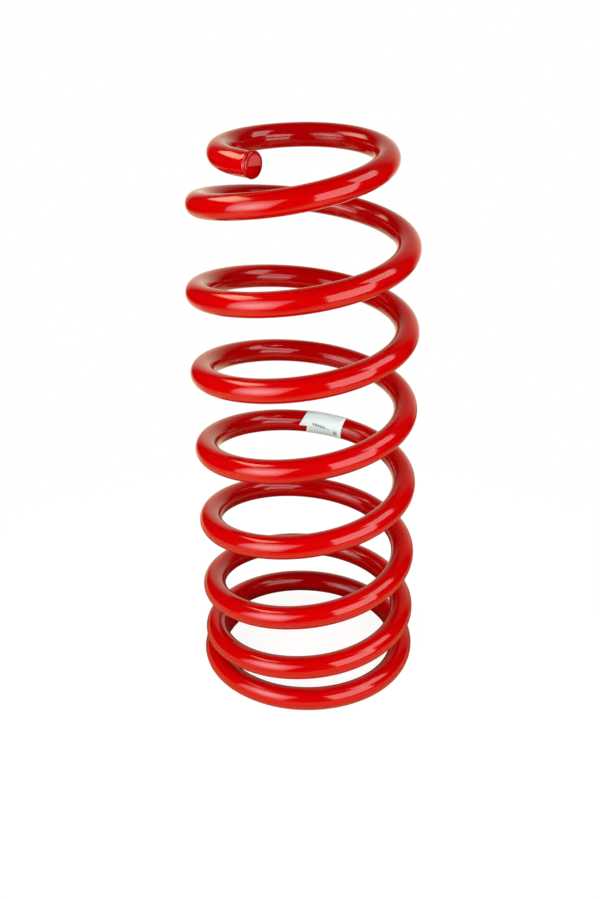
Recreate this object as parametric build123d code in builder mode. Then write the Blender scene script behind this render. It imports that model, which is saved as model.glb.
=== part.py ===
from build123d import *
import math
import os

# Coil spring of an off-road car's suspension: one steel bar, wound, sheared off at both ends and
# powder coated, with a paper label stuck round it. The coil is open in its middle, closes in towards
# the foot, and steps in to a smaller seat coil at the top.
# Millimetres. +Z runs up the coil's axis, and the origin is on that axis, in the plane it stands on.
# Turns are counted up from the foot's end, and they wind to the right.

# Bar, coating included
wire_diameter = 16.0
# Coil diameters, from bar centre to bar centre
foot_mean_diameter = 143.1
body_mean_diameter = 137.5
top_mean_diameter = 100.8
# Whole coil: how many turns, and where round the axis the upper end lies, in degrees from +X
turn_count = 8.23
top_end_angle = -126.0
# Foot: a level stretch, a rise to the closed pitch, then an opening out to the body's pitch
foot_level_turns = 0.42
foot_rise_turns = 0.14
closed_turns = 0.78
opening_turns = 1.20
foot_flare_turns = 0.23
foot_end_gap = 0.5      # clear height between the foot's end and the turn above it
body_pitch = 56.2
# Top: a stretch at a wider pitch, then a bend down to a level seat coil
upper_pitch = 63.0
widening_turns = 0.41
upper_turns = 0.26
top_bend_turns = 0.48
top_level_turns = 0.40
# Step in to the seat coil, in turns below the upper end
neck_level_turns = 0.34
neck_turns = 1.09
# Sheared ends: the upper one swells a little towards its cut, and the foot's stays plain
end_length = 3.4
end_edge_radius = 1.2
end_bead = 0.15         # ridge that the coating leaves where the swelling starts
end_swell = 0.6
# Paper label, stuck round the bar and overlapping itself
label_thickness = 0.25
label_clearance = 0.05
label_width = 29.5      # along the bar
label_distance = 1649.1  # along the bar, from the foot's end to the label's middle
# How far up the bar the flap's free corners lie from where they started, on its lower and upper side
flap_lower_lean = 1.7
flap_upper_lean = 6.9
# How finely the bar's line is divided
arcs_per_turn = 12

wire_radius = wire_diameter / 2
foot_centre_height = wire_radius

# Climb over the first whole turn is the bar's own thickness and the gap above the foot's end
closed_share = 1 - foot_level_turns - foot_rise_turns / 2
closed_pitch = (wire_diameter + foot_end_gap) / closed_share

# Pitch along the coil: straight changes from each of these turns to the next
foot_stations = [
    (foot_level_turns, 0.0),
    (foot_level_turns + foot_rise_turns, closed_pitch),
    (foot_level_turns + foot_rise_turns + closed_turns, closed_pitch),
    (foot_level_turns + foot_rise_turns + closed_turns + opening_turns, body_pitch),
]
top_bend_start = turn_count - top_level_turns - top_bend_turns
top_stations = [
    (top_bend_start - upper_turns - widening_turns, body_pitch),
    (top_bend_start - upper_turns, upper_pitch),
    (top_bend_start, upper_pitch),
    (turn_count - top_level_turns, 0.0),
]
pitch_stations = [(0.0, 0.0)] + foot_stations + top_stations + [(turn_count, 0.0)]


def climb_to(turn):
    """Height of the bar's centre above its centre at the foot's end."""
    climb = 0.0
    for (low_turn, low_pitch), (high_turn, high_pitch) in zip(pitch_stations, pitch_stations[1:]):
        if turn <= low_turn:
            break
        part_turns = min(turn, high_turn) - low_turn
        pitch_there = low_pitch + (high_pitch - low_pitch) * part_turns / (high_turn - low_turn)
        climb += part_turns * (low_pitch + pitch_there) / 2
    return climb


def ease(share):
    """Smooth step from 0 to 1."""
    share = min(max(share, 0.0), 1.0)
    return share * share * (3 - 2 * share)


def coil_radius(turn):
    """Distance of the bar's centre from the coil's axis."""
    foot_share = max(1 - turn / foot_flare_turns, 0.0)
    neck_share = ease((turn - (turn_count - neck_level_turns - neck_turns)) / neck_turns)
    diameter = body_mean_diameter
    diameter += (foot_mean_diameter - body_mean_diameter) * foot_share
    diameter += (top_mean_diameter - body_mean_diameter) * neck_share
    return diameter / 2


def bar_centre(turn):
    """Point on the bar's centre line."""
    angle = math.radians(top_end_angle + 360 * (turn - turn_count))
    radius = coil_radius(turn)
    height = foot_centre_height + climb_to(turn)
    return Vector(radius * math.cos(angle), radius * math.sin(angle), height)


# Centre line of the bar: arcs that each carry on in the direction in which the last one ended
arc_count = math.ceil(turn_count * arcs_per_turn)
turn_step = turn_count / arc_count
with BuildLine() as bar_line:
    heading = bar_centre(turn_step / 100) - bar_centre(0)
    for arc_number in range(arc_count):
        arc_start = bar_centre(arc_number * turn_step)
        arc_end = bar_centre((arc_number + 1) * turn_step)
        heading = TangentArc(arc_start, arc_end, tangent=heading) % 1
bar_path = Wire(bar_line.edges())

foot_point = bar_path @ 0
foot_direction = (bar_path % 0) * -1
top_point = bar_path @ 1
top_direction = bar_path % 1

# The spring: the round bar along its line, and the sheared end at each tip
with BuildPart() as coil_spring:
    with BuildSketch(Plane(origin=foot_point, z_dir=foot_direction * -1)):
        Circle(wire_radius)
    sweep(path=bar_path)
    for tip, direction, bead, swell in (
        (foot_point, foot_direction, 0.0, 0.0),
        (top_point, top_direction, end_bead, end_swell),
    ):
        end_radius = wire_radius + swell
        # Half section of the end: x runs out along the bar, y out from its centre
        section_plane = Plane(origin=tip, x_dir=direction, z_dir=direction.cross(Vector(0, 0, 1)))
        with BuildSketch(section_plane):
            with BuildLine():
                edge_start = (end_length - end_edge_radius, end_radius)
                edge_end = (end_length, end_radius - end_edge_radius)
                Polyline((0, 0), (0, wire_radius + bead), edge_start)
                RadiusArc(edge_start, edge_end, end_edge_radius)
                Polyline(edge_end, (end_length, 0), (0, 0))
            make_face()
        revolve(axis=Axis(tip, direction))
coil_spring.part.label = "coil_spring"

# The label follows the bar's own line over its width. Its first layer goes all the way round, and the
# flap covers the quarter that faces up and in, leaning up the bar towards its free edge.
label_start = (label_distance - label_width / 2) / bar_path.length
label_end = (label_distance + label_width / 2) / bar_path.length
flap_end = label_end + flap_upper_lean / bar_path.length
label_path = bar_path.trim(label_start, label_end)
flap_path = bar_path.trim(label_start, flap_end)
label_inner_radius = wire_radius + label_clearance
label_outer_radius = label_inner_radius + label_thickness
flap_inner_radius = label_inner_radius + label_thickness / 2
flap_outer_radius = label_outer_radius + label_thickness


def bar_plane(share):
    """Plane across the labelled bar: its x axis points in to the coil's axis and its y axis up."""
    point = label_path @ share
    along = label_path % share
    inward = Vector(-point.X, -point.Y, 0)
    inward = inward - along * inward.dot(along)
    return Plane(origin=point, x_dir=inward, z_dir=along)


with BuildPart() as label_flap:
    with BuildSketch(bar_plane(0)):
        with BuildLine():
            CenterArc((0, 0), flap_outer_radius, 0, 90)
            CenterArc((0, 0), flap_inner_radius, 0, 90)
            Line((0, flap_inner_radius), (0, flap_outer_radius))
            Line((flap_inner_radius, 0), (flap_outer_radius, 0))
        make_face()
    sweep(path=flap_path)
    # Each side is cut on the slant, from the top of the bar to the flap's free edge
    for share, lean, kept in ((0, flap_lower_lean, Keep.TOP), (1, flap_upper_lean, Keep.BOTTOM)):
        across = bar_plane(share)
        top_corner = across.from_local_coords(Vector(0, flap_outer_radius, 0))
        free_corner = across.from_local_coords(Vector(flap_outer_radius, 0, lean))
        radial = across.from_local_coords(Vector(1, 1, 0)) - across.origin
        slant = free_corner - top_corner
        side = Plane(origin=top_corner, x_dir=slant, z_dir=slant.cross(radial))
        split(bisect_by=side, keep=kept)

with BuildPart() as paper_label:
    with BuildSketch(bar_plane(0)):
        Circle(label_outer_radius)
        Circle(label_inner_radius, mode=Mode.SUBTRACT)
    sweep(path=label_path)
    add(label_flap.part)
paper_label.part.label = "paper_label"

os.makedirs("parts", exist_ok=True)
export_step(coil_spring.part, "parts/coil_spring.step")
export_step(paper_label.part, "parts/paper_label.step")

overall = coil_spring.part.bounding_box()
print("height", round(overall.max.Z, 2), "outside", round(overall.size.X, 2), round(overall.size.Y, 2))
print("bar length", round(bar_path.length, 1), "closed pitch", round(closed_pitch, 2))
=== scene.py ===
import math

import bpy
from mathutils import Matrix, Vector


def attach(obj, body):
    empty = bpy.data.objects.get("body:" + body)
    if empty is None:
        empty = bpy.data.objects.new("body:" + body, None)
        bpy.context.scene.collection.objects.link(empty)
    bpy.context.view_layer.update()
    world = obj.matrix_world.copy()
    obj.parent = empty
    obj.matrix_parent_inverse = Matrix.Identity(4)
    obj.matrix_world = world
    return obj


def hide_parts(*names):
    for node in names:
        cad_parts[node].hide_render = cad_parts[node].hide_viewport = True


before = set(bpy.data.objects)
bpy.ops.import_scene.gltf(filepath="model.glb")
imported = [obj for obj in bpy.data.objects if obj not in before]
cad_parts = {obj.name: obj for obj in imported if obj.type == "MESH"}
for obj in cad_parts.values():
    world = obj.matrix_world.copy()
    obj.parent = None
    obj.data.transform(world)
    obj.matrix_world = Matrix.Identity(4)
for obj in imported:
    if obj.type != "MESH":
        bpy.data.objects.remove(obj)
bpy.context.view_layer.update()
scene = bpy.context.scene
scene.view_settings.view_transform = "Standard"
print("frame loaded:", sorted(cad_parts))

mm = 0.001


# helpers

def hexColour(code):  # sRGB hex to linear, as the shaders want it
    parts = [int(code[i:i + 2], 16) / 255 for i in (1, 3, 5)]
    return [c / 12.92 if c <= 0.04045 else ((c + 0.055) / 1.055) ** 2.4 for c in parts] + [1]


def addNode(tree, kind, settings=None, links=None):  # in links, a node stands for its first output
    node = tree.nodes.new(kind)
    for name, value in (settings or {}).items():
        if isinstance(name, int) or name in node.inputs:
            node.inputs[name].default_value = value
        else:
            setattr(node, name, value)
    for name, source in (links or {}).items():
        tree.links.new(getattr(source, "outputs", [source])[0], node.inputs[name])
    return node


def allOf(tree, *shares):  # the shares multiplied: 1 only where each of them is 1
    whole = shares[0]
    for share in shares[1:]:
        whole = addNode(tree, "ShaderNodeMath", {"operation": "MULTIPLY"}, {0: whole, 1: share})
    return whole


def within(tree, value, low, high, soft):  # 1 between low and high, easing to 0 over soft on both sides
    up = addNode(tree, "ShaderNodeMapRange", {"From Min": low - soft, "From Max": low + soft},
                 {"Value": value})
    down = addNode(tree, "ShaderNodeMapRange",
                   {"From Min": high - soft, "From Max": high + soft, "To Min": 1.0, "To Max": 0.0},
                   {"Value": value})
    return allOf(tree, up, down)


def fade(tree, *steps):  # smooth steps from low to high, each while its value crosses a span, multiplied
    parts = []
    for value, (start, end), low, high in steps:
        settings = {"interpolation_type": "SMOOTHSTEP", "From Min": start, "From Max": end,
                    "To Min": low, "To Max": high}
        parts.append(addNode(tree, "ShaderNodeMapRange", settings, {"Value": value}))
    return allOf(tree, *parts)


def newMaterial(name):
    material = bpy.data.materials.new(name)
    material.use_nodes = True
    material.node_tree.nodes.clear()
    return material, material.node_tree


def ease(share):
    share = min(max(share, 0.0), 1.0)
    return share * share * (3 - 2 * share)


def meshPiece(name, points, faces, material, marks=None, smooth=True):
    mesh = bpy.data.meshes.new(name)
    mesh.from_pydata(points, [], faces)
    mesh.validate()
    mesh.polygons.foreach_set("use_smooth", [smooth] * len(mesh.polygons))
    mesh.materials.append(material)
    for mark, values in (marks or {}).items():
        mesh.attributes.new(mark, "FLOAT", "POINT").data.foreach_set("value", values)
    piece = bpy.data.objects.new(name, mesh)
    scene.collection.objects.link(piece)
    return piece


# the bar's own line, in millimetres, counted in turns up from the foot's end

bar = {
    "radius": 8.0, "turns": 8.23, "upperEndAngle": -126.0,
    "footRadius": 71.55, "bodyRadius": 68.75, "topRadius": 50.4,
    "footFlareTurns": 0.23, "neckLevelTurns": 0.34, "neckTurns": 1.09,
    "footLevelTurns": 0.42, "footRiseTurns": 0.14, "closedTurns": 0.78, "openingTurns": 1.20,
    "footGap": 0.5,  # between the foot's end and the turn above it
    "bodyPitch": 56.2, "upperPitch": 63.0,
    "wideningTurns": 0.41, "upperTurns": 0.26, "topBendTurns": 0.48, "topLevelTurns": 0.40,
    "ringStep": 2.4, "ringSides": 48,
}


def pitchStations():  # (turn, pitch), with straight changes from each to the next
    footLevel = bar["footLevelTurns"]
    footRisen = footLevel + bar["footRiseTurns"]
    opening = footRisen + bar["closedTurns"]
    opened = opening + bar["openingTurns"]
    topLevel = bar["turns"] - bar["topLevelTurns"]
    topBend = topLevel - bar["topBendTurns"]
    widened = topBend - bar["upperTurns"]
    widening = widened - bar["wideningTurns"]
    # in its first turn the bar climbs by its own thickness and the gap over the foot's end
    closedPitch = (2 * bar["radius"] + bar["footGap"]) / (1 - footLevel - bar["footRiseTurns"] / 2)
    foot = [(0.0, 0.0), (footLevel, 0.0), (footRisen, closedPitch), (opening, closedPitch)]
    body = [(opened, bar["bodyPitch"]), (widening, bar["bodyPitch"])]
    top = [(widened, bar["upperPitch"]), (topBend, bar["upperPitch"]), (topLevel, 0.0), (bar["turns"], 0.0)]
    return foot + body + top


stations = pitchStations()


def climbTo(turn):
    climb = 0.0
    for (lowTurn, lowPitch), (highTurn, highPitch) in zip(stations, stations[1:]):
        if turn <= lowTurn:
            break
        part = min(turn, highTurn) - lowTurn
        pitchThere = lowPitch + (highPitch - lowPitch) * part / (highTurn - lowTurn)
        climb += part * (lowPitch + pitchThere) / 2
    return climb


def barCentre(turn):
    footShare = max(1 - turn / bar["footFlareTurns"], 0.0)
    neckStart = bar["turns"] - bar["neckLevelTurns"] - bar["neckTurns"]
    neckShare = ease((turn - neckStart) / bar["neckTurns"])
    radius = bar["bodyRadius"] + (bar["footRadius"] - bar["bodyRadius"]) * footShare
    radius += (bar["topRadius"] - bar["bodyRadius"]) * neckShare
    angle = math.radians(bar["upperEndAngle"] + 360 * (turn - bar["turns"]))
    return Vector((radius * math.cos(angle), radius * math.sin(angle), bar["radius"] + climbTo(turn)))


# how far along the bar each small step of a turn lies
stepsPerTurn = 720
walk = [barCentre(i / stepsPerTurn) for i in range(round(bar["turns"] * stepsPerTurn) + 1)]
walked = [0.0]
for here, there in zip(walk, walk[1:]):
    walked.append(walked[-1] + (there - here).length)
barLength = walked[-1]


def barFrame(distance):  # centre, direction, outward and upward at a distance along the bar
    inside = min(max(distance, 0.0), barLength)
    low, high = 0, len(walked) - 1
    while high - low > 1:
        middle = (low + high) // 2
        low, high = (middle, high) if walked[middle] <= inside else (low, middle)
    share = (inside - walked[low]) / (walked[high] - walked[low])
    turn = (low + share) / stepsPerTurn
    reach = 1 / stepsPerTurn
    along = (barCentre(min(turn + reach, bar["turns"])) - barCentre(max(turn - reach, 0.0))).normalized()
    centre = barCentre(turn) + along * (distance - inside)
    outward = Vector((centre.x, centre.y, 0))
    outward = (outward - along * outward.dot(along)).normalized()
    return centre, along, outward, along.cross(outward) * -1


print("bar length", round(barLength, 1), "mm")


# materials

powderCoat = {
    "red": "#BC0002", "thinAndShadedRed": "#960004",  # where the coat is full, and a darker red for where it runs thin, round the cut ends' rims and as painted shade on the coil's inside
    "ior": 1.45, "roughness": 0.10,
    "orangePeelMm": 1.8, "orangePeelDepthMm": 0.012,  # the skin's own ripple
    "waveMm": 9.0, "waveDepthMm": 0.03,  # slow unevenness left by the hot-rolled bar beneath
    "cloudMm": 22.0, "cloudSpan": (0.35, 0.75), "cloudThinness": 0.22,  # slow changes in thickness
    # painted shade: the red is darker on the inside of the coil, where the skin faces out by less than this
    "insideFrom": 0.4, "insidePaintedShade": 0.5,
    # the paler, duller half of the cut face: from, to and softness in mm, up and out from its middle
    "chalkedRed": "#C24848", "chalkedRoughness": 0.35,
    "chalkedUp": (-0.4, 9.0, 0.25), "chalkedRadius": (0.5, 6.0, 0.5),
}


def makePowderCoat():
    # polyester powder coat, sprayed and baked on steel: deep glossy red with a faint orange-peel ripple
    material, tree = newMaterial("glossPowderCoatOnSteel")
    place = addNode(tree, "ShaderNodeTexCoord").outputs["Object"]
    peel = addNode(tree, "ShaderNodeTexNoise",
                   {"Scale": 1 / (powderCoat["orangePeelMm"] * mm), "Detail": 1.0, "Roughness": 0.4},
                   {"Vector": place})
    wave = addNode(tree, "ShaderNodeTexNoise",
                   {"Scale": 1 / (powderCoat["waveMm"] * mm), "Detail": 0.0}, {"Vector": place})
    cloud = addNode(tree, "ShaderNodeTexNoise",
                    {"Scale": 1 / (powderCoat["cloudMm"] * mm), "Detail": 2.0}, {"Vector": place})
    start, end = powderCoat["cloudSpan"]
    cloudThin = addNode(tree, "ShaderNodeMapRange",
                        {"From Min": start, "From Max": end, "To Max": powderCoat["cloudThinness"]},
                        {"Value": cloud})
    # this mark holds the darker red round the cut ends' rims and the painted shade on the coil's inside
    markedDarkening = addNode(tree, "ShaderNodeAttribute", {"attribute_name": "darkRimAndPaintedShade"}).outputs["Fac"]
    darkening = addNode(tree, "ShaderNodeMath", {"operation": "MAXIMUM"}, {0: cloudThin, 1: markedDarkening})
    full, thinAndShaded = hexColour(powderCoat["red"]), hexColour(powderCoat["thinAndShadedRed"])
    red = addNode(tree, "ShaderNodeMix", {"data_type": "RGBA", 6: full, 7: thinAndShaded}, {0: darkening}).outputs[2]
    faceUp = addNode(tree, "ShaderNodeAttribute", {"attribute_name": "faceUp"}).outputs["Fac"]
    faceRadius = addNode(tree, "ShaderNodeAttribute", {"attribute_name": "faceRadius"}).outputs["Fac"]
    chalked = allOf(tree, within(tree, faceUp, *powderCoat["chalkedUp"]),
                    within(tree, faceRadius, *powderCoat["chalkedRadius"]))
    colour = addNode(tree, "ShaderNodeMix",
                     {"data_type": "RGBA", 7: hexColour(powderCoat["chalkedRed"])}, {0: chalked, 6: red})
    roughness = addNode(tree, "ShaderNodeMapRange",
                        {"To Min": powderCoat["roughness"], "To Max": powderCoat["chalkedRoughness"]},
                        {"Value": chalked})
    slow = addNode(tree, "ShaderNodeBump", {"Distance": powderCoat["waveDepthMm"] * mm, "Strength": 1.0},
                   {"Height": wave})
    fine = addNode(tree, "ShaderNodeBump",
                   {"Distance": powderCoat["orangePeelDepthMm"] * mm, "Strength": 1.0},
                   {"Height": peel, "Normal": slow})
    gloss = addNode(tree, "ShaderNodeBsdfPrincipled", {"IOR": powderCoat["ior"]},
                    {"Base Color": colour.outputs[2], "Roughness": roughness, "Normal": fine})
    addNode(tree, "ShaderNodeOutputMaterial", {}, {"Surface": gloss})
    return material


paper = {
    "white": "#E2F8FC", "ink": "#56605F", "paleInk": "#B2BEC2",
    "roughness": 0.55, "fibreMm": 0.4, "fibreDepthMm": 0.01,
    "blurAcrossMm": 0.15, "blurUpMm": 0.2,
    # plain grey bars: their span across in mm, counted down the spring's bar from the label's upper side,
    # their span up in mm from the flap's free edge, their rise per mm across, the step and width in mm of
    # the blocks in them, the ink, and how strongly it shows
    "bars": [
        ((4.5, 15.2), (2.0, 3.7), -0.15, (2.4, 1.9), "ink", 0.85),
        ((15.2, 19.5), (2.4, 3.4), -0.15, (1.5, 1.1), "paleInk", 0.6),
        ((5.5, 20.0), (0.5, 1.2), -0.03, (1.7, 1.3), "paleInk", 0.6),
        ((1.5, 22.0), (-1.6, -0.7), -0.02, (1.7, 1.3), "paleInk", 0.75),
        ((1.5, 26.0), (-3.2, -2.3), -0.02, (2.3, 1.9), "paleInk", 0.8),
        ((1.5, 26.0), (-4.8, -3.9), -0.02, (1.9, 1.5), "paleInk", 0.8),
        ((1.5, 26.0), (-6.4, -5.5), -0.02, (2.1, 1.6), "paleInk", 0.8),
        ((22.4, 26.0), (-3.0, -0.2), -0.02, (9.0, 9.0), "ink", 0.7),
    ],
}


def makePaper():
    # coated label paper with plain grey bars on it: matt, faintly cool white, with a fine fibre grain
    material, tree = newMaterial("coatedLabelPaper")
    place = addNode(tree, "ShaderNodeTexCoord").outputs["Object"]
    fibre = addNode(tree, "ShaderNodeTexNoise",
                    {"Scale": 1 / (paper["fibreMm"] * mm), "Detail": 3.0}, {"Vector": place})
    bump = addNode(tree, "ShaderNodeBump", {"Distance": paper["fibreDepthMm"] * mm, "Strength": 1.0},
                   {"Height": fibre})
    across = addNode(tree, "ShaderNodeAttribute", {"attribute_name": "labelAcross"}).outputs["Fac"]
    up = addNode(tree, "ShaderNodeAttribute", {"attribute_name": "labelUp"}).outputs["Fac"]
    tone = None
    for spanAcross, spanUp, tilt, (blockStep, blockWidth), ink, strength in paper["bars"]:
        rise = addNode(tree, "ShaderNodeMath", {"operation": "MULTIPLY", 1: tilt}, {0: across})
        level = addNode(tree, "ShaderNodeMath", {"operation": "SUBTRACT"}, {0: up, 1: rise})
        # how far the nearest block's middle is, which is never below 0
        away = addNode(tree, "ShaderNodeMath", {"operation": "PINGPONG", 1: blockStep / 2}, {0: across})
        blocks = within(tree, away, -1.0, blockWidth / 2, paper["blurAcrossMm"])
        share = allOf(tree,
                      addNode(tree, "ShaderNodeMath", {"operation": "MULTIPLY", 1: strength}, {0: blocks}),
                      within(tree, level, *spanUp, paper["blurUpMm"]),
                      within(tree, across, *spanAcross, paper["blurAcrossMm"]))
        settings = {"data_type": "RGBA", 6: hexColour(paper["white"]), 7: hexColour(paper[ink])}
        links = {0: share} if tone is None else {0: share, 6: tone}
        tone = addNode(tree, "ShaderNodeMix", settings, links).outputs[2]
    sheet = addNode(tree, "ShaderNodeBsdfPrincipled", {"Roughness": paper["roughness"]},
                    {"Base Color": tone, "Normal": bump})
    addNode(tree, "ShaderNodeOutputMaterial", {}, {"Surface": sheet})
    return material


powderCoatMaterial = makePowderCoat()
paperMaterial = makePaper()
print("materials made")


# the spring: rings round the bar, closed by the sheared ends

shearedEnd = {
    "length": 3.4, "edgeRadius": 1.5, "crown": 0.3,  # the cut face bulges a little in its middle
    "upper": {"ridge": 0.22, "swell": 0.6}, "foot": {"ridge": 0.0, "swell": 0.0},
    # lumps that shearing leaves round the upper end: waves round the bar, height in mm, turned by degrees
    "lumps": [(2, 0.10, 40), (5, 0.07, 100), (9, 0.05, 10)],
    # rings: the ridge's as (mm out, share of its height), and the cut face's as shares of its radius
    "ridgeRings": [(-0.6, 0.3), (-0.3, 0.8), (0.0, 1.0), (0.3, 0.75), (0.6, 0.35)],
    "swellRings": 5, "edgeRings": 8, "faceRings": [0.85, 0.7, 0.55, 0.4, 0.25, 0.1],
    "edgeDarkening": 0.9,  # the red is darker round the cut end's rounded rim
    "paleTilt": 0.13,  # slope of the line below the cut face's paler half
    # from here out the end is marked with its own radii, its middle with a small one, and all else with a
    # large one, so that the coat is pale on the cut face alone
    "markedFrom": 1.5, "middleMark": 1.0, "elsewhereMark": 20.0,
}

# a speck of powder baked on: its place in turns and in degrees round the bar, and its size in mm
paintNib = {"turn": 2.211, "angle": 16.4, "radius": 1.0, "height": 0.85, "sunk": 0.08,
            "rings": 4, "sides": 14}


def endProfile(shape):
    # of each ring: mm out from where the end starts, radius, how much darker the red is there, share of the
    # lumps
    radius = bar["radius"]
    edge = shearedEnd["edgeRadius"]
    flat = shearedEnd["length"] - shearedEnd["crown"]
    face = radius + shape["swell"] - edge
    profile = [(out, radius + shape["ridge"] * share, 0.0, share) for out, share in shearedEnd["ridgeRings"]]
    swellStart = profile[-1][0]
    count = shearedEnd["swellRings"]
    for step in range(1, count + 1):
        out = swellStart + (flat - edge - swellStart) * step / count
        profile.append((out, radius + shape["swell"] * ease(step / count), 0.0, 1.0))
    count = shearedEnd["edgeRings"]
    for step in range(1, count + 1):
        angle = math.radians(90 * step / count)
        profile.append((flat - edge + edge * math.sin(angle), face + edge * math.cos(angle),
                        shearedEnd["edgeDarkening"] * math.sin(2 * angle), 1 - step / count))
    for share in shearedEnd["faceRings"]:
        profile.append((flat + shearedEnd["crown"] * (1 - share * share), face * share, 0.0, 0.0))
    return profile


def nibMesh(first):  # a low dome on the bar's skin, with its points numbered from first
    rings, sides = paintNib["rings"], paintNib["sides"]
    centre, along, outward, upward = barFrame(walked[math.floor(paintNib["turn"] * stepsPerTurn)])
    angle = math.radians(paintNib["angle"])
    normal = outward * math.cos(angle) + upward * math.sin(angle)
    crosswise = normal.cross(along)
    points, faces = [], []
    for ring in range(rings + 1):
        reach = paintNib["radius"] * ring / rings
        for side in range(sides if ring else 1):
            turned = 2 * math.pi * side / sides
            wide, tall = reach * math.cos(turned), reach * math.sin(turned)
            lift = paintNib["height"] * (1 - (ring / rings) ** 2) - paintNib["sunk"]
            lift -= tall * tall / (2 * bar["radius"])  # the skin falls away round the bar
            points.append(centre + normal * (bar["radius"] + lift) + along * wide + crosswise * tall)
    for side in range(sides):
        following = (side + 1) % sides
        faces.append((first, first + 1 + side, first + 1 + following))
        for ring in range(rings - 1):
            inner = first + 1 + ring * sides
            outer = inner + sides
            faces.append((inner + side, outer + side, outer + following, inner + following))
    return points, faces


def springMesh():
    points, faces = [], []
    marks = {"darkRimAndPaintedShade": [], "faceUp": [], "faceRadius": []}
    sides = bar["ringSides"]
    around = [(side, (side + 1) % sides) for side in range(sides)]

    def addPoint(point, darkening=0.0, up=0.0, radius=shearedEnd["elsewhereMark"]):
        points.append(point * mm)
        for mark, value in zip(marks, (darkening, up, radius)):
            marks[mark].append(value)

    def addRing(distance, radius, darkening, lumpy):
        centre, _, outward, upward = barFrame(distance)
        marked = distance > barLength + shearedEnd["markedFrom"]
        for side in range(sides):
            angle = 2 * math.pi * side / sides
            normal = outward * math.cos(angle) + upward * math.sin(angle)
            lump = sum(height * math.cos(waves * angle - math.radians(turned))
                       for waves, height, turned in shearedEnd["lumps"])
            # painted shade: a darker red on the faces turned into the coil
            inside = powderCoat["insidePaintedShade"] * ease(powderCoat["insideFrom"] - math.cos(angle))
            up = radius * (math.sin(angle) - shearedEnd["paleTilt"] * math.cos(angle))
            addPoint(centre + normal * (radius + lump * lumpy), max(darkening, inside), up,
                     radius if marked else shearedEnd["elsewhereMark"])

    rings = [(-out, radius, darkening, 0.0)
             for out, radius, darkening, _ in reversed(endProfile(shearedEnd["foot"]))]
    count = round(barLength / bar["ringStep"])
    rings += [(barLength * i / count, bar["radius"], 0.0, 0.0) for i in range(1, count)]
    rings += [(barLength + out, *rest) for out, *rest in endProfile(shearedEnd["upper"])]
    for ring in rings:
        addRing(*ring)
    lastRing = (len(rings) - 1) * sides
    for ring in range(0, lastRing, sides):
        faces += [(ring + a, ring + b, ring + b + sides, ring + a + sides) for a, b in around]

    footMiddle, topMiddle = len(points), len(points) + 1
    addPoint(barFrame(-shearedEnd["length"])[0])
    addPoint(barFrame(barLength + shearedEnd["length"])[0], radius=shearedEnd["middleMark"])
    faces += [(b, a, footMiddle) for a, b in around]
    faces += [(lastRing + a, lastRing + b, topMiddle) for a, b in around]

    nibPoints, nibFaces = nibMesh(len(points))
    for point in nibPoints:
        addPoint(point)
    return points, faces + nibFaces, marks


springPoints, springFaces, springMarks = springMesh()
spring = meshPiece("woundSpring", springPoints, springFaces, powderCoatMaterial, springMarks)
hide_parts("coil_spring")
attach(spring, "root")
print("spring made:", len(springFaces), "faces")


# the label: a strip of paper round the bar, its far end lying over its near one

label = {
    "middle": 1649.1, "width": 29.5,  # mm along the bar
    "innerRadius": 8.06, "thickness": 0.16, "flapRise": 0.24,
    # degrees round the bar: 0 faces out from the coil, 90 up, 180 in
    "startAngle": 100, "riseAngle": 425, "riseSpan": 40, "flapAngle": 450, "endAngle": 540,
    "lowerLean": 4.0, "upperLean": 6.9,  # how far up the bar the flap's two free corners lie
    "curl": 0.12,  # how far the flap's free edge lifts
    "printSeam": 400,  # where the print's count changes over from the first layer to the flap
    "angleStep": 5, "columns": 24,
}


def labelMesh():
    points, faces = [], []
    marks = {"labelAcross": [], "labelUp": []}
    rows = round((label["endAngle"] - label["startAngle"]) / label["angleStep"])
    columns = label["columns"]

    def addSheet(lift):
        for row in range(rows + 1):
            degrees = label["startAngle"] + (label["endAngle"] - label["startAngle"]) * row / rows
            angle = math.radians(degrees)
            flapShare = max((degrees - label["flapAngle"]) / (label["endAngle"] - label["flapAngle"]), 0.0)
            rise = label["flapRise"] * ease((degrees - label["riseAngle"]) / label["riseSpan"])
            radius = label["innerRadius"] + lift + rise + label["curl"] * flapShare ** 6
            # the print is counted from the flap's free edge, up the flap and down the first layer below it
            above = label["endAngle"] - degrees
            if degrees <= label["printSeam"]:
                above -= 360
            seam = abs(degrees - label["printSeam"]) <= label["angleStep"]
            for column in range(columns + 1):
                across = column / columns
                lean = label["lowerLean"] + (label["upperLean"] - label["lowerLean"]) * across
                distance = label["middle"] + label["width"] * (across - 0.5) + lean * flapShare
                centre, _, outward, upward = barFrame(distance)
                normal = outward * math.cos(angle) + upward * math.sin(angle)
                points.append((centre + normal * radius) * mm)
                # at the seam, across lies off the sheet, so that nothing is printed there
                down = -label["width"] if seam else label["middle"] + label["width"] / 2 - distance
                marks["labelAcross"].append(down)
                marks["labelUp"].append(math.radians(above) * radius)

    addSheet(0.0)
    addSheet(label["thickness"])
    wide = columns + 1
    under = (rows + 1) * wide
    for row in range(rows):
        for column in range(columns):
            a = row * wide + column
            faces.append((a, a + 1, a + 1 + wide, a + wide))
            faces.append((a + under, a + wide + under, a + 1 + wide + under, a + 1 + under))
    border = list(range(wide))
    border += [row * wide + columns for row in range(1, rows + 1)]
    border += [rows * wide + column for column in range(columns - 1, -1, -1)]
    border += [row * wide for row in range(rows - 1, 0, -1)]
    for a, b in zip(border, border[1:] + border[:1]):
        faces.append((a, a + under, b + under, b))
    return points, faces, marks


labelPoints, labelFaces, labelMarks = labelMesh()
paperLabel = meshPiece("wrappedLabel", labelPoints, labelFaces, paperMaterial, labelMarks)
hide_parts("paper_label")
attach(paperLabel, "root")
print("label made:", len(labelFaces), "faces")


# floor, world, lamps and camera, in metres

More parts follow.
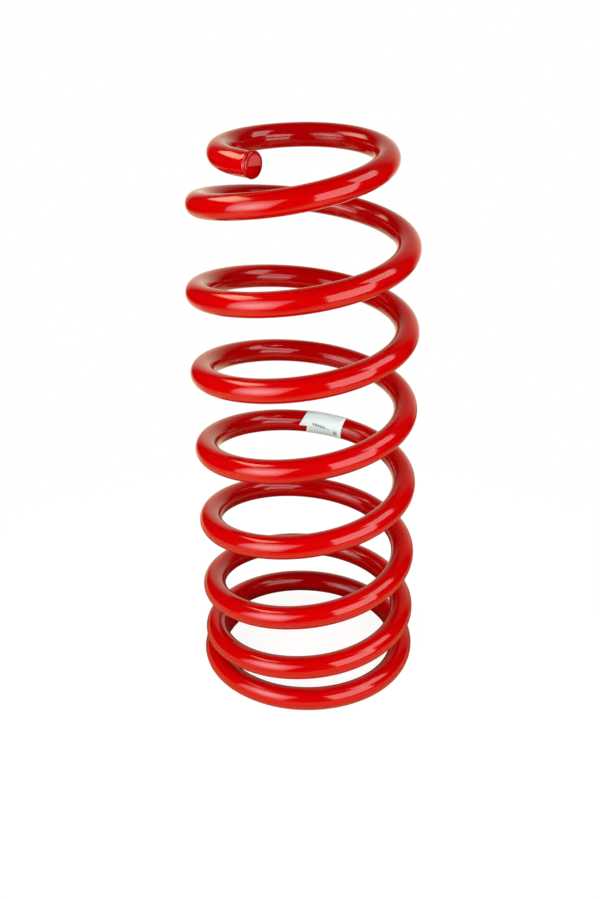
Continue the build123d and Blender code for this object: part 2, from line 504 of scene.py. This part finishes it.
studio = {
    "floorRadius": 3.0, "floorCorners": 96,
    # what the camera sees: a white ground that keeps a faint shadow near the foot
    "groundWhite": 0.88, "groundAlbedo": 0.20, "shadowReach": (0.12, 0.4),
    # what the spring mirrors: a warm white table, dark towards the front, and a bright cove round its back
    "tableTone": 0.74, "tableTint": "#FFE7B2", "tableMiddle": -0.12, "tableSide": (0.25, 0.70),
    "tableFront": (-0.42, -0.02), "frontWidening": 0.7,  # the dark stretch narrows towards the spring
    "coilShade": (0.0, 0.11, 0.0), "coilShadeReach": (0.09, 0.20), "coilShadeTone": 0.12,  # its own shadow
    "behindGlow": 0.55, "behindFrom": (0.15, 0.35), "behindSide": (0.2, 0.5),
    "coveRadius": 0.80, "coveGlow": 1.0, "coveTint": "#FFF8DC", "coveAim": (0.208, 0.978, 0.0),
    "coveTurn": (0.70, 1.0),  # cosine of the turn away from its middle, where the cove sets in and is full
    "coveHeight": (-0.6, 0.52), "coveSoft": 0.3, "dimRoom": 0.010,
}


def coveShare(tree, direction):  # the cove's glow in a direction or at a place, and how far out it lies
    flat = addNode(tree, "ShaderNodeVectorMath", {"operation": "MULTIPLY", 1: (1, 1, 0)}, {0: direction})
    reach = addNode(tree, "ShaderNodeVectorMath", {"operation": "LENGTH"}, {0: flat}).outputs["Value"]
    aimed = addNode(tree, "ShaderNodeVectorMath", {"operation": "DOT_PRODUCT", 1: studio["coveAim"]},
                    {0: flat}).outputs["Value"]
    divisor = addNode(tree, "ShaderNodeMath", {"operation": "MAXIMUM", 1: 0.001}, {0: reach})  # never 0
    turn = addNode(tree, "ShaderNodeMath", {"operation": "DIVIDE"}, {0: aimed, 1: divisor})
    return fade(tree, (turn, studio["coveTurn"], 0.0, studio["coveGlow"])), reach


def makeFloor():
    # painted studio floor: white to the camera, with the spring's shadow, and the lit table to all else
    material, tree = newMaterial("paleStudioFloor")
    place = addNode(tree, "ShaderNodeTexCoord").outputs["Object"]
    split = addNode(tree, "ShaderNodeSeparateXYZ", {}, {"Vector": place})
    cove, reach = coveShare(tree, place)
    ground = addNode(tree, "ShaderNodeBsdfDiffuse", {},
                     {"Color": fade(tree, (reach, studio["shadowReach"], studio["groundAlbedo"], 0.0))})
    white = addNode(tree, "ShaderNodeEmission", {"Color": (1, 1, 1, 1)},
                    {"Strength": fade(tree, (reach, studio["shadowReach"], studio["groundWhite"], 1.0))})
    seen = addNode(tree, "ShaderNodeAddShader", {}, {0: ground, 1: white})

    offMiddle = addNode(tree, "ShaderNodeMath", {"operation": "SUBTRACT", 1: studio["tableMiddle"]},
                        {0: split.outputs["X"]})
    aside = addNode(tree, "ShaderNodeMath", {"operation": "ABSOLUTE"}, {0: offMiddle})
    forward = addNode(tree, "ShaderNodeMath", {"operation": "MULTIPLY_ADD", 1: studio["frontWidening"]},
                      {0: aside, 2: split.outputs["Y"]})
    fromShade = addNode(tree, "ShaderNodeVectorMath", {"operation": "DISTANCE", 1: studio["coilShade"]},
                        {0: place}).outputs["Value"]
    tone = fade(tree, (forward, studio["tableFront"], 0.0, studio["tableTone"]),
                (aside, studio["tableSide"], 1.0, 0.0),
                (fromShade, studio["coilShadeReach"], studio["coilShadeTone"], 1.0))
    tint = addNode(tree, "ShaderNodeVectorMath",
                   {"operation": "SCALE", 0: hexColour(studio["tableTint"])[:3]}, {"Scale": tone})
    table = addNode(tree, "ShaderNodeBsdfDiffuse", {}, {"Color": tint})
    behind = fade(tree, (split.outputs["Y"], studio["behindFrom"], 0.0, studio["behindGlow"]),
                  (aside, studio["behindSide"], 1.0, 0.0))
    outside = addNode(tree, "ShaderNodeMath", {"operation": "GREATER_THAN", 1: studio["coveRadius"]},
                      {0: reach})
    glow = addNode(tree, "ShaderNodeMath", {"operation": "MAXIMUM"},
                   {0: behind, 1: allOf(tree, cove, outside)})
    lit = addNode(tree, "ShaderNodeEmission", {"Color": hexColour(studio["coveTint"])}, {"Strength": glow})
    mirrored = addNode(tree, "ShaderNodeAddShader", {}, {0: table, 1: lit})

    toCamera = addNode(tree, "ShaderNodeLightPath").outputs["Is Camera Ray"]
    paint = addNode(tree, "ShaderNodeMixShader", {}, {0: toCamera, 1: mirrored, 2: seen})
    addNode(tree, "ShaderNodeOutputMaterial", {}, {"Surface": paint})
    return material


def makeWorld():
    # white to the camera, and a dim room with the bright cove round its back to all else
    world = bpy.data.worlds.new("whiteStudio")
    world.use_nodes = True
    room = world.node_tree
    room.nodes.clear()
    direction = addNode(room, "ShaderNodeTexCoord").outputs["Generated"]
    height = addNode(room, "ShaderNodeSeparateXYZ", {}, {"Vector": direction}).outputs["Z"]
    cove, _ = coveShare(room, direction)
    band = within(room, height, *studio["coveHeight"], studio["coveSoft"])
    glow = addNode(room, "ShaderNodeMath", {"operation": "ADD", 1: studio["dimRoom"]},
                   {0: allOf(room, cove, band)})
    toCamera = addNode(room, "ShaderNodeLightPath").outputs["Is Camera Ray"]
    strength = addNode(room, "ShaderNodeMix", {"data_type": "FLOAT", 3: 1.0}, {0: toCamera, 2: glow})
    colour = addNode(room, "ShaderNodeMix",
                     {"data_type": "RGBA", 6: hexColour(studio["coveTint"]), 7: (1, 1, 1, 1)},
                     {0: toCamera}).outputs[2]
    sky = addNode(room, "ShaderNodeBackground", {}, {"Color": colour, "Strength": strength})
    addNode(room, "ShaderNodeOutputWorld", {}, {"Surface": sky})
    return world


rim = []
for corner in range(studio["floorCorners"]):
    angle = 2 * math.pi * corner / studio["floorCorners"]
    rim.append((studio["floorRadius"] * math.cos(angle), studio["floorRadius"] * math.sin(angle), 0))
floor = meshPiece("studioFloor", rim, [tuple(range(len(rim)))], makeFloor(), smooth=False)
scene.world = makeWorld()

# softboxes round the spring, all aimed at its middle, with their rolls in degrees
# one with a soft edge is a glowing cloth, brightest in its hot spot and down to rimShare round it
lamps = {
    "leftFront": {"at": (-0.440, -0.430, 0.345), "size": (0.58, 0.72), "roll": 10, "radiance": 8.0,
                  "colour": "#FDFFFF", "softEdge": 0.02, "rimShare": 0.24, "hotSpot": (0.0, 0.36)},
    "rightFront": {"at": (0.357, -0.401, 0.315), "size": (0.445, 0.500), "roll": -5, "radiance": 4.2,
                   "colour": "#FFFDF8"},
    "leftHigh": {"at": (-0.338, 0.078, 0.640), "size": (0.40, 0.17), "roll": -6, "radiance": 8.2,
                 "colour": "#FFE8C6", "softEdge": 0.015, "rimShare": 0.5, "hotSpot": (0.03, 0.21)},
    "rightHigh": {"at": (0.950, -0.125, 1.080), "size": (0.62, 0.78), "roll": 14, "radiance": 4.0,
                  "colour": "#FFFAF4"},
}
springMiddle = Vector((0, 0, 0.2))


def softboxCloth(name, lamp):
    # white cloth of a softbox, lit on the side that faces the spring
    material, tree = newMaterial(name + "Cloth")
    place = addNode(tree, "ShaderNodeTexCoord").outputs["Object"]
    split = addNode(tree, "ShaderNodeSeparateXYZ", {}, {"Vector": place})
    sides = [within(tree, split.outputs[axis], -extent / 2, extent / 2, lamp["softEdge"])
             for axis, extent in zip("XY", lamp["size"])]
    back = addNode(tree, "ShaderNodeNewGeometry").outputs["Backfacing"]
    front = addNode(tree, "ShaderNodeMath", {"operation": "SUBTRACT", 0: 1.0}, {1: back})
    reach = addNode(tree, "ShaderNodeVectorMath", {"operation": "LENGTH"}, {0: place}).outputs["Value"]
    share = allOf(tree, *sides, front, fade(tree, (reach, lamp["hotSpot"], 1.0, lamp["rimShare"])))
    strength = addNode(tree, "ShaderNodeMath", {"operation": "MULTIPLY", 1: lamp["radiance"]}, {0: share})
    cloth = addNode(tree, "ShaderNodeEmission", {"Color": hexColour(lamp["colour"])},
                    {"Strength": strength})
    addNode(tree, "ShaderNodeOutputMaterial", {}, {"Surface": cloth})
    return material


def hangLamp(name, lamp):
    width, height = lamp["size"]
    if "softEdge" in lamp:
        x, y = width / 2 + lamp["softEdge"], height / 2 + lamp["softEdge"]
        box = meshPiece(name, [(-x, y, 0), (x, y, 0), (x, -y, 0), (-x, -y, 0)], [(0, 3, 2, 1)],
                        softboxCloth(name, lamp), smooth=False)
        shines = 1  # along its own +Z
    else:
        light = bpy.data.lights.new(name, "AREA")
        light.shape = "RECTANGLE"
        light.size, light.size_y = width, height
        light.color = hexColour(lamp["colour"])[:3]
        light.energy = lamp["radiance"] * math.pi * width * height  # watts that give this radiance
        box = bpy.data.objects.new(name, light)
        scene.collection.objects.link(box)
        shines = -1  # along its own -Z
    at = Vector(lamp["at"])
    facing = (springMiddle - at).normalized()
    widthAxis = Vector((0, 0, 1)).cross(facing).normalized()
    heightAxis = facing.cross(widthAxis)
    roll = math.radians(lamp["roll"])
    turned = widthAxis * math.cos(roll) + heightAxis * math.sin(roll)
    upright = heightAxis * math.cos(roll) - widthAxis * math.sin(roll)
    box.matrix_world = Matrix((turned, upright * shines, facing * shines)).transposed().to_4x4()
    box.location = at
    box.visible_camera = False


for name, lamp in lamps.items():
    hangLamp(name, lamp)

view = {
    "at": (0.00408, -0.72097, 0.51940), "aim": (-0.00404, 0.0, 0.17050),
    "roll": -1.1625,  # degrees
    "lens": 45.862, "sensorWidth": 36,  # millimetres
    "clipStart": 0.01,
}
cameraData = bpy.data.cameras.new("photoView")
cameraData.sensor_width = view["sensorWidth"]
cameraData.lens = view["lens"]
cameraData.clip_start = view["clipStart"]
camera = bpy.data.objects.new("photoView", cameraData)
scene.collection.objects.link(camera)
facing = Vector(view["aim"]) - Vector(view["at"])
turned = facing.to_track_quat("-Z", "Y").to_matrix() @ Matrix.Rotation(math.radians(view["roll"]), 3, "Z")
camera.matrix_world = turned.to_4x4()
camera.location = view["at"]
scene.camera = camera
print("studio made")
